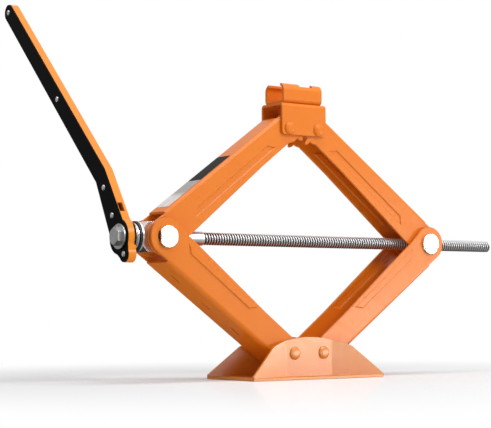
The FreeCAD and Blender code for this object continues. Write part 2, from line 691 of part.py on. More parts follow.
def build_trunnions():
    """Thrust trunnion at the wrench, with a flat on its journals, and staked nut trunnion at the free end."""
    length = "(lower_arm_width + 2 * journal_proud)"
    thrust_journal = cut("thrust_journals", rod("thrust_journal_bar", "journal_radius", length, "Y"), [
        block("thrust_journal_flat", ("journal_radius", f"2 * {length}", "2 * journal_radius"),
              ("-(journal_flat + journal_radius / 2)", "0", "0"))])
    thrust = fuse("thrust_trunnion_blank", [
        trunnion_blank("thrust_trunnion", "thrust_outer_reach", "trunnion_inner_reach"), thrust_journal])
    bore = rod("thrust_bore", SHANK_HOLE, "8 * arm_end_radius", "X")
    node(cut("thrust_trunnion", thrust, [bore]), "thrust_trunnion", THRUST_PLACE)

    nut = fuse("nut_trunnion_blank", [
        trunnion_blank("nut_trunnion", "trunnion_inner_reach", "nut_outer_reach"),
        rod("nut_journal_bar", "journal_radius", length, "Y")])
    stakes = []
    for side in (-1, 1):
        for index in range(round(size.stake_count)):
            angle = 90 + 360 / round(size.stake_count) * index
            spot = (f"journal_radius * cos({angle})", f"{side} * {length} / 2",
                    f"journal_radius * sin({angle})")
            stakes.append(rod(f"stake_{index}_{'front' if side < 0 else 'back'}", "stake_radius",
                              "2 * stake_depth", "Y", spot))
    nut_bore = rod("nut_bore", "screw_radius + running_clearance", "8 * arm_end_radius", "X")
    node(cut("nut_trunnion", nut, [nut_bore, *stakes]), "nut_trunnion", NUT_PLACE)


def build_joint_washers():
    """Washers on the journals, between the flanges of an upper and a lower arm."""
    for label, place in (("thrust", THRUST_PLACE), ("nut", NUT_PLACE)):
        near = f"({UPPER_ARM_WIDTH} / 2 + joint_clearance)"
        rings = [washer(f"{label}_washer_{side}", JOURNAL_HOLE, "joint_washer_radius", start, "joint_washer")
                 for side, start in (("front", f"-{near} - joint_washer"), ("back", near))]
        pair = doc.addObject("Part::Compound", f"{label}_joint_washers")
        pair.Links = rings
        node(pair, f"{label}_joint_washers", place.multiply(Placement(Vector(), Rotation(AXIS["Z"], 90))))


def build_screw():
    """Lead screw with plain shank, thrust collar and six-sided drive end, bored for the drive bolt."""
    span = 2 * trunnion_x
    free_end = f"{span} + screw_overhang"
    right = f"-{BEARING_STACK}"
    left = f"(-{BEARING_STACK} - collar_length)"
    turning = turned("screw_bar", (
        (left, "0"),
        (left, "collar_radius"),
        (right, "collar_radius"),
        (right, "screw_shank_radius"),
        ("screw_shank_reach", "screw_shank_radius"),
        ("screw_shank_reach", "screw_radius"),
        (f"{free_end} - screw_chamfer", "screw_radius"),
        (free_end, "screw_radius - screw_chamfer"),
        (free_end, "0"),
    ))
    drive = six_sided("screw_drive", "drive_flats", f"{HUB_FACE} - {BEARING_STACK} - collar_length",
                      f"-{HUB_FACE}")
    bolt_hole = rod("screw_bolt_hole", "drive_bolt_radius + running_clearance", "2 * drive_bolt_length", "X",
                    (f"-{HUB_FACE}", "0", "0"))
    screw = cut("lead_screw", fuse("screw_blank", [turning, drive]), [bolt_hole])
    node(screw, "lead_screw", THRUST_PLACE)


def build_thrust_bearing():
    """Two races, a dark cage and a ring of balls with few faces, between the trunnion and the collar."""
    first = "(thrust_outer_reach + race_thickness)"
    node(washer("thrust_race_inner", SHANK_HOLE, "race_radius", f"-{first}", "race_thickness"),
         "thrust_race_inner", THRUST_PLACE)
    node(washer("thrust_race_outer", SHANK_HOLE, "outer_race_radius", f"-{BEARING_STACK}", "race_thickness"),
         "thrust_race_outer", THRUST_PLACE)
    middle = f"-({first} + {BALL_GAP} / 2)"
    balls = []
    seats = []
    for index in range(round(size.ball_count)):
        angle = 360 / round(size.ball_count) * (index + 0.5)
        spot = (middle, f"ball_circle_radius * cos({angle})", f"ball_circle_radius * sin({angle})")
        ball = turned(f"ball_{index}", (
            ("-ball_radius", "0"),
            ("-ball_radius", "ball_radius * tan(22.5)"),
            ("-ball_radius * tan(22.5)", "ball_radius"),
            ("ball_radius * tan(22.5)", "ball_radius"),
            ("ball_radius", "ball_radius * tan(22.5)"),
            ("ball_radius", "0"),
        ))
        bind_place(ball, *spot)
        balls.append(ball)
        seats.append(rod(f"ball_seat_{index}", "ball_radius + running_clearance",
                         "2 * cage_thickness", "X", spot))
    ring = doc.addObject("Part::Compound", "thrust_balls")
    ring.Links = balls
    node(ring, "thrust_balls", THRUST_PLACE)
    cage = washer("cage_ring", "ball_circle_radius - 2 * ball_radius", "cage_radius",
                  f"{middle} - cage_thickness / 2", "cage_thickness")
    node(cut("thrust_ball_cage", cage, seats), "thrust_ball_cage", THRUST_PLACE)


# Ratchet wrench, in a plane across the screw
# Its own frame has the rear face at X = 0, the front towards -X and the screw at Y = Z = 0.

NECK = ("wrench_head_offset", "0", "wrench_bend_across", "wrench_bend_rise")
HANDLE = ("wrench_bend_across", "wrench_bend_rise", "wrench_tip_across", "wrench_tip_rise")
THROAT = ("wrench_head_offset", "0", "wrench_lobe_across", "wrench_lobe_level")


def disc(name, radius, rear, thickness, across="0", rise="0"):
    """Round plate of the wrench: its rear face lies behind the origin plane by a formula."""
    return rod(name, radius, thickness, "X", (f"-({rear}) - ({thickness}) / 2", across, rise))


def tapered_bar(name, ends, first_width, last_width, rear, thickness):
    """Bar of the wrench between two points, whose width runs from a first to a last value."""
    across_one, rise_one, across_two, rise_two = ends
    run = f"sqrt(({across_two} - {across_one}) ^ 2 + ({rise_two} - {rise_one}) ^ 2)"
    bar = padded(name, "XY_Plane", (
        ("0", f"-({first_width}) / 2"),
        (run, f"-({last_width}) / 2"),
        (run, f"({last_width}) / 2"),
        ("0", f"({first_width}) / 2"),
    ), thickness)
    start, end = (Vector(0, value_of(ends[index]), value_of(ends[index + 1])) for index in (0, 2))
    lengthwise = (end - start).normalize()
    forward = Vector(-1, 0, 0)
    bar.Placement = Placement(start, Rotation(lengthwise, forward.cross(lengthwise), forward, "ZXY"))
    bar.setExpression("Placement.Base.x", in_sheet(f"-({rear}) - ({thickness}) / 2"))
    return bar


def value_of(word):
    """Number of a size name, or of a plain number."""
    return getattr(size, word) if hasattr(size, word) else float(word)


def wrench_blank(name, inset, rear, thickness):
    """The wrench's outline, drawn in by an inset: head, lobe, neck, bend, handle and round tip."""
    bend = ("wrench_bend_across", "wrench_bend_rise")
    tip = ("wrench_tip_across", "wrench_tip_rise")
    return fuse(name, [
        disc(name + "_head", f"wrench_head_radius - ({inset})", rear, thickness, "wrench_head_offset"),
        disc(name + "_lobe", f"wrench_lobe_radius - ({inset})", rear, thickness,
             "wrench_lobe_across", "wrench_lobe_level"),
        tapered_bar(name + "_throat", THROAT, f"2 * (wrench_head_radius - ({inset}))",
                    f"2 * (wrench_lobe_radius - ({inset}))", rear, thickness),
        tapered_bar(name + "_neck", NECK, f"wrench_neck_root_width - 2 * ({inset})",
                    f"wrench_neck_width - 2 * ({inset})", rear, thickness),
        disc(name + "_bend", f"wrench_handle_width / 2 - ({inset})", rear, thickness, *bend),
        tapered_bar(name + "_handle", HANDLE, f"wrench_handle_width - 2 * ({inset})",
                    f"wrench_tip_width - 2 * ({inset})", rear, thickness),
        disc(name + "_tip", f"wrench_tip_width / 2 - ({inset})", rear, thickness, *tip),
    ])


def rivet_places():
    """Rivets of the wrench, across and above the screw: lobe, neck, handle and tip."""
    def between(share, ends):
        """Point part of the way along a bar."""
        across_one, rise_one, across_two, rise_two = ends
        return (f"{across_one} + {share} * ({across_two} - {across_one})",
                f"{rise_one} + {share} * ({rise_two} - {rise_one})")

    return {
        "lobe": ("wrench_lobe_across", "wrench_lobe_level"),
        "neck": between("neck_rivet_share", NECK),
        "handle": between("handle_rivet_share", HANDLE),
        "tip": ("wrench_tip_across", "wrench_tip_rise"),
    }


def lever_window():
    """Cutter of the slot in the neck's near side, where the pawl can be reached."""
    cutter = doc.addObject("Part::Box", "lever_window")
    bind(cutter, Length="window_length", Width="4 * wrench_wall", Height="window_depth")
    neck = Vector(0, size.wrench_bend_across - size.wrench_head_offset, size.wrench_bend_rise)
    share = (size.window_reach + size.window_length / 2) / neck.Length
    half_width = (size.wrench_neck_root_width * (1 - share) + size.wrench_neck_width * share) / 2
    neck.normalize()
    forward = Vector(-1, 0, 0)
    near = forward.cross(neck)
    if near.y > 0:
        near = -near
    turn = Rotation(neck, forward.cross(neck), forward, "ZXY")
    corner = (Vector(-size.window_rear, size.wrench_head_offset, 0) + neck * size.window_reach
              + near * (half_width - size.wrench_wall * 1.5))
    if near.dot(forward.cross(neck)) < 0:
        corner += near * (4 * size.wrench_wall)
    cutter.Placement = Placement(corner, turn)
    return cutter


def build_wrench_shells():
    """Hollow frame, the front cover on it, and the round rear cover in it."""
    place = Placement(THRUST_PLACE)
    place.Base.x = wrench_rear_x
    front = "(wrench_thickness - cover_thickness)"
    pawl_pin = ("pawl_across", "pawl_rise")
    blank = wrench_blank("frame_blank", "0", "0", front)
    depth = f"({front} - wrench_floor)"
    cavity_discs = [
        disc("cavity_head", "wrench_head_radius - wrench_wall", "wrench_floor", depth, "wrench_head_offset"),
        disc("cavity_wheel", "wheel_radius + wheel_clearance", "wrench_floor", depth),
        disc("cavity_bend", "wrench_handle_width / 2 - wrench_wall", "wrench_floor", depth,
             "wrench_bend_across", "wrench_bend_rise"),
        disc("cavity_tip", "wrench_tip_width / 2 - wrench_wall", "wrench_floor", depth,
             "wrench_tip_across", "wrench_tip_rise"),
    ]
    cavity_bars = [
        tapered_bar("cavity_neck", NECK, "wrench_neck_root_width - 2 * wrench_wall",
                    "wrench_neck_width - 2 * wrench_wall", "wrench_floor", depth),
        tapered_bar("cavity_handle", HANDLE, "wrench_handle_width - 2 * wrench_wall",
                    "wrench_tip_width - 2 * wrench_wall", "wrench_floor", depth),
    ]
    rear_seat = disc("rear_seat", "rear_cover_radius + cover_clearance",
                     "-cover_thickness", "2 * cover_thickness")
    rear_bore = disc("rear_bore", "wheel_hub_radius + cover_bore_clearance",
                     "-cover_thickness", "wrench_thickness")
    bosses = []
    holes = []
    for label, spot in rivet_places().items():
        bosses.append(disc(f"boss_{label}", "2 * rivet_radius", "wrench_floor", depth, *spot))
        holes.append(disc(f"rivet_hole_{label}", "rivet_radius", "0", "wrench_thickness", *spot))
    holes.append(disc("pawl_pin_hole", "rivet_radius", "0", "wrench_thickness", *pawl_pin))
    hollow = cut("frame_hollow", fuse("frame_cavity", [*cavity_discs, *cavity_bars]), bosses)
    frame = cut("wrench_frame", blank, [hollow, rear_seat, rear_bore, lever_window(), *holes])
    node(frame, "wrench_frame", place)

    cover = wrench_blank("cover_blank", "cover_inset", front, "cover_thickness")
    cover_holes = [disc(f"cover_hole_{label}", "rivet_radius", front, "cover_thickness", *spot)
                   for label, spot in (*rivet_places().items(), ("pawl", pawl_pin))]
    cover_bore = disc("cover_bore", "wheel_hub_radius + cover_bore_clearance", front, "cover_thickness")
    node(cut("wrench_front_cover", cover, [cover_bore, *cover_holes]), "wrench_front_cover", place)
    rear = washer("rear_cover_ring", "wheel_hub_radius + cover_bore_clearance", "rear_cover_radius",
                  "-cover_thickness", "cover_thickness")
    node(rear, "wrench_rear_cover", place)
    return place


def wrench_rivet(name, spot):
    """Round-headed rivet through the frame and the front cover."""
    body = turned(name, (
        ("-(wrench_thickness + rivet_head_height)", "0"),
        ("-(wrench_thickness + rivet_head_height)", "rivet_crown_radius"),
        ("-(wrench_thickness + rivet_head_height / 2)", "rivet_brow_radius"),
        ("-wrench_thickness", "rivet_head_radius"),
        ("-wrench_thickness", "rivet_radius"),
        ("0", "rivet_radius"),
        ("0", "0"),
    ))
    bind_place(body, "0", *spot)
    return body


def build_ratchet(place):
    """Rivets, ratchet wheel, pawl with its pin and spring, drive washer and drive bolt."""
    rivets = [wrench_rivet(f"rivet_{label}", spot) for label, spot in rivet_places().items()]
    group = doc.addObject("Part::Compound", "wrench_rivets")
    group.Links = rivets
    node(group, "wrench_rivets", place)
    pin = doc.addObject("Part::Compound", "pawl_pin")
    pin.Links = [wrench_rivet("pawl_pin_rivet", ("pawl_across", "pawl_rise"))]
    node(pin, "pawl_pin", place)

    wheel_rear = "(wrench_floor + wheel_clearance)"
    wheel_front = "(wrench_thickness - cover_thickness - wheel_clearance)"
    rim = disc("wheel_rim", "wheel_radius", wheel_rear, f"{wheel_front} - {wheel_rear}")
    hub = disc("wheel_hub", "wheel_hub_radius", "cover_thickness",
               "wrench_thickness + wheel_clearance - cover_thickness")
    forward = Vector(-1, 0, 0)
    notches = []
    for index in range(round(size.wheel_teeth)):
        notch = doc.addObject("Part::Prism", f"wheel_notch_{index}")
        notch.Polygon = 3
        bind(notch, Circumradius="wheel_tooth_depth", Height="wrench_thickness")
        angle = 360 / size.wheel_teeth * index + size.wheel_phase
        spin = Rotation(Vector(1, 0, 0), angle)
        outward = spin.multVec(Vector(0, 1, 0))
        turn = Rotation(-outward, forward.cross(-outward), forward, "ZXY")
        notch.Placement = Placement(outward * size.wheel_radius, turn)
        notches.append(notch)
    bore = six_sided("wheel_bore", "drive_flats + 2 * drive_clearance",
                     "3 * wrench_thickness", "-2 * wrench_thickness")
    toothed = cut("wheel_teeth", rim, notches)
    node(cut("ratchet_wheel", fuse("wheel_blank", [toothed, hub]), [bore]), "ratchet_wheel", place)

    pawl_at = Vector(0, size.pawl_across, size.pawl_rise)
    to_centre = math.degrees(math.atan2(-size.pawl_rise, -size.pawl_across))
    nose_turn = Rotation(AXIS["X"], to_centre + size.pawl_nose_tilt)
    nose_axis = nose_turn.multVec(AXIS["Y"])
    neck_axis = Vector(0, size.wrench_bend_across - size.wrench_head_offset, size.wrench_bend_rise)
    neck_axis.normalize()
    pawl_depth = f"({wheel_front} - {wheel_rear})"
    nose = padded("pawl_nose", "XY_Plane", (
        ("0", "-pawl_nose_width / 2"),
        ("pawl_nose_length", "-pawl_nose_width / 8"),
        ("pawl_nose_length", "pawl_nose_width / 8"),
        ("0", "pawl_nose_width / 2"),
    ), pawl_depth)
    tail = padded("pawl_tail", "XY_Plane", (
        ("0", "-pawl_nose_width / 2"),
        ("pawl_tail_length", "-pawl_nose_width / 2"),
        ("pawl_tail_length", "pawl_nose_width / 2"),
        ("0", "pawl_nose_width / 2"),
    ), pawl_depth)
    middle = -(size.wrench_floor + size.wrench_thickness - size.cover_thickness) / 2
    for piece, direction in ((nose, nose_axis), (tail, neck_axis)):
        piece.Placement = Placement(Vector(middle, 0, 0) + pawl_at,
                                    Rotation(direction, forward.cross(direction), forward, "ZXY"))
    pawl_body = fuse("pawl_blank", [nose, tail, disc("pawl_round", "pawl_radius", wheel_rear, pawl_depth,
                                                     "pawl_across", "pawl_rise")])
    pawl_bore = disc("pawl_bore", "rivet_radius + running_clearance", "0", "wrench_thickness",
                     "pawl_across", "pawl_rise")
    node(cut("pawl", pawl_body, [pawl_bore]), "pawl", place)

    spring = doc.addObject("Part::Cylinder", "pawl_spring")
    bind(spring, Radius="pawl_spring_radius", Height="pawl_spring_length")
    push = forward.cross(neck_axis)
    if push.y > 0:
        push = -push
    seat = pawl_at + neck_axis * (size.pawl_tail_length - size.pawl_spring_radius) + Vector(middle, 0, 0)
    seat += push * (size.pawl_nose_width / 2 + size.spring_clearance)
    inner = Placement(seat, Rotation(AXIS["Z"], push))
    node(spring, "pawl_spring", place.multiply(inner))

    hub_face = "(wrench_thickness + wheel_clearance)"
    node(washer("drive_washer", "drive_bolt_radius + running_clearance", "drive_washer_radius",
                f"-({hub_face} + drive_washer_thickness)", "drive_washer_thickness"), "drive_washer", place)
    seat = f"({hub_face} + drive_washer_thickness)"
    head = six_sided("drive_bolt_hexagon", "drive_bolt_flats", "drive_bolt_head",
                     f"-({seat} + drive_bolt_head)")
    cone = turned("drive_bolt_cone", (
        (f"-({seat} + drive_bolt_head)", "0"),
        (f"-({seat} + drive_bolt_head)", "drive_bolt_crown_radius"),
        (f"-({seat} + drive_bolt_head / 2)", "drive_bolt_flats"),
        (f"-{seat}", "drive_bolt_flats"),
        (f"-{seat}", "0"),
    ))
    shank = rod("drive_bolt_shank", "drive_bolt_radius", "drive_bolt_length", "X",
                (f"-{seat} + drive_bolt_length / 2", "0", "0"))
    node(fuse("drive_bolt", [overlap("drive_bolt_cap", [head, cone]), shank]), "drive_bolt", place)


def check_and_write():
    """Stop on anything that failed, then write each node's solid."""
    doc.recompute()
    for thing in doc.Objects:
        if "Invalid" in thing.State or "Error" in thing.State:
            raise RuntimeError(f"{thing.Name} failed: {thing.State}")
    os.makedirs("parts", exist_ok=True)
    for thing in NODES:
        if thing.Shape.isNull() or not thing.Shape.isValid() or not thing.Shape.Solids:
            raise RuntimeError(f"{thing.Label} has no valid solid")
        thing.Shape.exportStep(f"parts/{thing.Label}.step")
        print(thing.Label, len(thing.Shape.Solids), "solid(s)", round(thing.Shape.Volume), "mm3")


build_arms()
build_base()
build_pins()
build_cap()
build_saddle()
build_trunnions()
build_joint_washers()
build_screw()
build_thrust_bearing()
build_ratchet(build_wrench_shells())
check_and_write()
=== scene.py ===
"""Looks of the scissor jack: finishes, the screw's thread, small trim, floor, light and camera.

Metres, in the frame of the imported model: X along the lead screw, Y across the jack, Z up.
"""
import json
import math

import bmesh
import bpy
from mathutils import Matrix, Vector

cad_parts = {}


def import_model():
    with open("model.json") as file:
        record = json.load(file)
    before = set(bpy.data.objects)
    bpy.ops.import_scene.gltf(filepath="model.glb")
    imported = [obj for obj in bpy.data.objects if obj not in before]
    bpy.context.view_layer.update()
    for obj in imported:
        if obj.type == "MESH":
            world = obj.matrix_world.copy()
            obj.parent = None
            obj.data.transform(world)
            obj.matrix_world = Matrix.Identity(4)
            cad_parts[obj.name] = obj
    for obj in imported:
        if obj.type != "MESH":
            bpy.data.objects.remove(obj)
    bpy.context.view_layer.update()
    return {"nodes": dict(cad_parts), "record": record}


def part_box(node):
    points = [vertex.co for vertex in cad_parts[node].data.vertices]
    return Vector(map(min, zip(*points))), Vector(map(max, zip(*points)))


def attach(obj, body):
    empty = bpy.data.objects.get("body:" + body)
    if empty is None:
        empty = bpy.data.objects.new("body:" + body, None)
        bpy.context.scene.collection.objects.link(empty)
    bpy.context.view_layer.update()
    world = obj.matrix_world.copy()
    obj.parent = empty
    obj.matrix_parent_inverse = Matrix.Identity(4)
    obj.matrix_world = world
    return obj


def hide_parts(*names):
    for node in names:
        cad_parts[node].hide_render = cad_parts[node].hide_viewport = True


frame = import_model()

MM = 0.001

# Camera, as solved from the photograph
IMAGE_WIDTH = 491
CAMERA_FOCAL_PIXELS = 1523
CAMERA_PLACE = Vector((-892.4, -1200.4, 60.9)) * MM
CAMERA_YAW = -34.78
CAMERA_PITCH = 3.82
CAMERA_ROLL = -0.38

# Lead screw, in millimetres
THREAD_PITCH = 3.0
THREAD_DEPTH = 1.1
THREAD_RINGS = 10
THREAD_SIDES = 40
THREAD_RADIUS = 6.0
SHANK_RADIUS = 6.6
SHANK_REACH = 50.3
COLLAR_LENGTH = 1.9
COLLAR_EDGE = 0.3
DRIVE_FLATS = 12.0
FREE_END_CHAMFER = 3.0
THREAD_RUNOUT = 1.0
THREAD_STEEPNESS = 1.7
COLLAR_SIDES = 64
SHANK_SIDES = 48
SHARP_ANGLE = 40

# Pawl spring, in millimetres, and the wrench neck's run across and above the screw
SPRING_TURNS = 6
SPRING_WIRE = 0.28
SPRING_STEPS = 14
SPRING_SIDES = 6
NECK_RUN = (34.2, 58.4)

# Blank label on the web of the upper left arm, in millimetres along the arm from its pin
WEB_AT_PIN = 15.2
WEB_AT_TRUNNION = 19.2
LABEL_START = 70.5
LABEL_SPLIT = 112.5
LABEL_END = 156.5
LABEL_HALF_WIDTH = 10.9
LABEL_LIFT = 0.05
LABEL_THICKNESS = 0.15
LABEL_CORNER = 1.2
LABEL_CORNER_STEPS = 3

# Radius that the shading rounds edges to, in millimetres
PAINT_EDGE = 0.8
ENAMEL_EDGE = 0.35
PLATED_EDGE = 0.4

# Noise scales of the finishes, per metre, and per label for its streaks
PAINT_CLOUDS, PAINT_SPECKLE, PAINT_SHEEN, PAINT_PEEL, PAINT_DUST = 22, 1500, 190, 900, 2600
ENAMEL_RUBBING, ENAMEL_PEEL = 90, 420
PLATED_CLOUDS, PLATED_SHEEN, PLATED_SCRATCHES, PLATED_PITS = 110, 340, 900, 1700
# The first thread scale mottles the painted shade in the thread's roots
THREAD_SHADE_MOTTLE, THREAD_SHEEN, THREAD_GRAIN = 160, 500, 1400
MOULD_CLOUDS, MOULD_SHEEN, MOULD_GRAIN = 70, 300, 1300
LABEL_STREAKS, LABEL_GRAIN = 9, 1300

# Finishes: linear colours
ORANGE = (0.76, 0.196, 0.010)
# Paler edge colours of the paints: partly a thinner coat, partly a painted highlight
ORANGE_THIN_COAT_AND_HIGHLIGHT = (0.90, 0.34, 0.075)
# Base plate and its pins: painted shade, a duller, less red copy of the orange set against the strong light
# on the base; its edge colour is also a painted highlight
FOOT_SHADED_ORANGE = (0.67, 0.220, 0.012)
FOOT_SHADED_THIN_AND_HIGHLIGHT = (0.80, 0.34, 0.08)
WRENCH_ORANGE = (0.84, 0.25, 0.012)
# The wrench's paler edge colour is partly a thinner coat, partly a painted highlight
WRENCH_THIN_COAT_AND_HIGHLIGHT = (0.86, 0.36, 0.05)
ENAMEL = (0.0035, 0.0032, 0.0032)
ZINC = (0.90, 0.90, 0.91)
# Drive bolt and washer: painted shade, a darker copy of the zinc
SHADED_ZINC = (0.66, 0.665, 0.67)
SCREW_STEEL = (0.80, 0.81, 0.82)
# Painted shade darkening the thread's roots
THREAD_ROOT_SHADE = (0.035, 0.034, 0.035)
TOOL_STEEL = (0.42, 0.41, 0.40)
CAGE_BLACK = (0.02, 0.02, 0.022)
LABEL_PALE = (0.85, 0.84, 0.83)
LABEL_GREY = (0.42, 0.415, 0.41)
LABEL_BLACK = (0.010, 0.009, 0.009)
LABEL_SMUDGE = (0.030, 0.029, 0.029)

# Gloss: specular level of the coats that aren't metal
ARM_GLOSS = 0.33
FOOT_GLOSS = 0.72
WRENCH_GLOSS = 0.35
ENAMEL_GLOSS = 0.03
LABEL_GLOSS = 0.04

# Floor, in metres
FLOOR_COLOUR = (0.86, 0.86, 0.87)
FLOOR_SIZE = 12.0
FLOOR_DROP = 0.0002
FLOOR_SHEEN = 0.20
FLOOR_ROUGHNESS = 0.10
FLOOR_OWN_LIGHT = 0.07
FADE_START = 0.20
FADE_END = 0.62
FLOOR_NEAR = -0.1
FLOOR_FAR = 0.9

# Light: the room's level, and what reflections see of the floor from near to far and of the room upwards
WORLD_LEVEL = 0.34
FLOOR_MIRRORED = ((0.10, 0.38), (0.20, 0.03), (0.38, 0.03), (0.60, 0.38))
ROOM_MIRRORED = ((0.0, 0.36), (0.05, 0.36), (0.35, 0.30), (0.60, 1.0), (1.0, 1.0))

# Lamps: place, point aimed at, size and power
JACK_MIDDLE = (0, 0, 0.15)
KEY = ((0.45, -1.20, 1.15), JACK_MIDDLE, (0.8, 0.6), 13)
TOP = ((0.0, -0.25, 1.55), JACK_MIDDLE, (0.9, 0.7), 11.5)
LOW_PANEL = ((1.54, -1.46, 0.16), (0, 0, 0.12), (1.0, 0.34), 6.5)
REAR_FILL = ((-0.30, 1.70, 0.50), JACK_MIDDLE, (1.2, 0.6), 5)
JOURNAL_CARD = ((0.72, -0.96, 0.21), (0, 0, 0.13), (0.6, 0.22), 0.55)
LOW_CARDS = {"left_card": (-0.04, -0.56, 0.030), "middle_card": (0.33, -0.46, 0.030),
             "right_card": (0.55, -0.18, 0.030)}
LOW_CARD_TARGET = (0, 0, 0.030)
LOW_CARD_SIZE = (0.36, 0.08)
LOW_CARD_POWER = 0.85
LOW_PIECES = ("base_plate", "base_pin_left", "base_pin_right", "lower_right_arm")


# Node helpers

def new_material(name):
    """Material with an empty principled shader: the material, its nodes, its links and the shader."""
    material = bpy.data.materials.new(name)
    material.use_nodes = True
    tree = material.node_tree
    return material, tree.nodes, tree.links, tree.nodes["Principled BSDF"]


def feed(links, socket, value):
    """Link a socket to another's value, or set it to a plain value."""
    if isinstance(value, bpy.types.NodeSocket):
        links.new(value, socket)
    else:
        socket.default_value = value


def arithmetic(nodes, links, operation, first, second):
    """Result of an operation on two numbers, each a socket or a plain number."""
    node = nodes.new("ShaderNodeMath")
    node.operation = operation
    feed(links, node.inputs[0], first)
    feed(links, node.inputs[1], second)
    return node.outputs["Value"]


def remap(nodes, links, value, start, end, first=0.0, last=1.0, curve="LINEAR"):
    """Number that runs from a first to a last value while a socket runs from a start to an end."""
    node = nodes.new("ShaderNodeMapRange")
    node.interpolation_type = curve
    for name, setting in (("Value", value), ("From Min", start), ("From Max", end),
                          ("To Min", first), ("To Max", last)):
        feed(links, node.inputs[name], setting)
    return node.outputs["Result"]


def axes(nodes, links, vector):
    """Outputs X, Y and Z of a vector."""
    node = nodes.new("ShaderNodeSeparateXYZ")
    links.new(vector, node.inputs["Vector"])
    return node.outputs


def noise(nodes, links, place, scale, detail=3.0, roughness=0.5, stretch=(1, 1, 1)):
    """Noise of a piece's own place, stretched along its axes."""
    texture = nodes.new("ShaderNodeTexNoise")
    texture.inputs["Scale"].default_value = scale
    texture.inputs["Detail"].default_value = detail
    texture.inputs["Roughness"].default_value = roughness
    if stretch != (1, 1, 1):
        mapping = nodes.new("ShaderNodeMapping")
        mapping.inputs["Scale"].default_value = stretch
        links.new(place, mapping.inputs["Vector"])
        place = mapping.outputs["Vector"]
    links.new(place, texture.inputs["Vector"])
    return texture.outputs["Fac"]


def ramp(nodes, links, factor, stops):
    """Colour ramp through stops of position and grey level or colour."""
    node = nodes.new("ShaderNodeValToRGB")
    elements = node.color_ramp.elements
    while len(elements) < len(stops):
        elements.new(0.5)
    for element, (position, colour) in zip(elements, stops):
        element.position = position
        element.color = (*colour, 1) if isinstance(colour, tuple) else (colour, colour, colour, 1)
    links.new(factor, node.inputs["Fac"])
    return node.outputs["Color"]


def mix(nodes, links, factor, first, second):
    """Mix of two colours, each a socket or a colour."""
    node = nodes.new("ShaderNodeMix")
    node.data_type = "RGBA"
    for socket, value in (("Factor", factor), ("A", first), ("B", second)):
        place = next(item for item in node.inputs if item.name == socket and item.type != "VECTOR"
                     and (socket == "Factor") == (item.type == "VALUE"))
        feed(links, place, (*value, 1) if isinstance(value, tuple) else value)
    return next(item for item in node.outputs if item.type == "RGBA")


def bumps(nodes, links, shader, layers, normal=None):
    """Stack bump layers of height socket, strength and depth onto a shader's normal."""
    for height, strength, depth in layers:
        bump = nodes.new("ShaderNodeBump")
        bump.inputs["Strength"].default_value = strength
        bump.inputs["Distance"].default_value = depth
        links.new(height, bump.inputs["Height"])
        if normal is not None:
            links.new(normal, bump.inputs["Normal"])
        normal = bump.outputs["Normal"]
    links.new(normal, shader.inputs["Normal"])


def soft_edges(nodes, links, radius):
    """Rounded normal of an edge, and a mask that is 1 on the edge."""
    bevel = nodes.new("ShaderNodeBevel")
    bevel.samples = 4
    bevel.inputs["Radius"].default_value = radius
    geometry = nodes.new("ShaderNodeNewGeometry")
    facing = nodes.new("ShaderNodeVectorMath")
    facing.operation = "DOT_PRODUCT"
    links.new(bevel.outputs["Normal"], facing.inputs[0])
    links.new(geometry.outputs["Normal"], facing.inputs[1])
    mask = ramp(nodes, links, facing.outputs["Value"], ((0.72, 1.0), (0.90, 0.0)))
    return bevel.outputs["Normal"], mask


# Materials

def painted(name, colour, thin_coat_and_highlight, roughness, gloss, peel_height):
    """Paint with soft orange peel, faint clouding, and along the edges a paler colour that is partly a
    thinner coat and partly a painted highlight.
    """
    material, nodes, links, shader = new_material(name)
    place = nodes.new("ShaderNodeTexCoord").outputs["Object"]
    clouds = ramp(nodes, links, noise(nodes, links, place, PAINT_CLOUDS, 5, 0.55),
                  ((0.30, 0.0), (0.72, 1.0)))
    speckle = ramp(nodes, links, noise(nodes, links, place, PAINT_SPECKLE, 2),
                   ((0.38, 0.0), (0.66, 1.0)))
    normal, edge = soft_edges(nodes, links, PAINT_EDGE * MM)
    deep = (colour[0] * 0.94, colour[1] * 0.84, colour[2] * 0.7)
    body = mix(nodes, links, clouds, colour, deep)
    grain = mix(nodes, links, speckle, body, tuple(min(1, channel * 1.06) for channel in colour))
    # Edges take the paler colour: partly a thinner coat, partly a painted highlight
    links.new(mix(nodes, links, edge, grain, thin_coat_and_highlight), shader.inputs["Base Color"])
    sheen = ramp(nodes, links, noise(nodes, links, place, PAINT_SHEEN, 5),
                 ((0.30, roughness - 0.05), (0.75, roughness + 0.07)))
    links.new(sheen, shader.inputs["Roughness"])
    shader.inputs["Specular IOR Level"].default_value = gloss
    peel = noise(nodes, links, place, PAINT_PEEL, 2, 0.45)
    dust = noise(nodes, links, place, PAINT_DUST, 2, 0.6)
    bumps(nodes, links, shader, ((peel, 0.10, peel_height * MM), (dust, 0.06, 0.02 * MM)), normal)
    return material


def enamel(name):
    """Gloss black enamel with fine rubbing marks and a greyer, rubbed edge."""
    material, nodes, links, shader = new_material(name)
    place = nodes.new("ShaderNodeTexCoord").outputs["Object"]
    normal, edge = soft_edges(nodes, links, ENAMEL_EDGE * MM)
    rubbing = noise(nodes, links, place, ENAMEL_RUBBING, 6, 0.7, (1, 0.2, 1))
    worn = ramp(nodes, links, rubbing, ((0.55, 0.0), (0.78, 0.22)))
    colour = mix(nodes, links, worn, ENAMEL, tuple(4 * channel for channel in ENAMEL))
    links.new(mix(nodes, links, edge, colour, tuple(9 * channel for channel in ENAMEL)),
              shader.inputs["Base Color"])
    links.new(ramp(nodes, links, rubbing, ((0.30, 0.14), (0.80, 0.34))), shader.inputs["Roughness"])
    shader.inputs["Specular IOR Level"].default_value = ENAMEL_GLOSS
    peel = noise(nodes, links, place, ENAMEL_PEEL, 2)
    bumps(nodes, links, shader, ((peel, 0.10, 0.15 * MM),), normal)
    return material


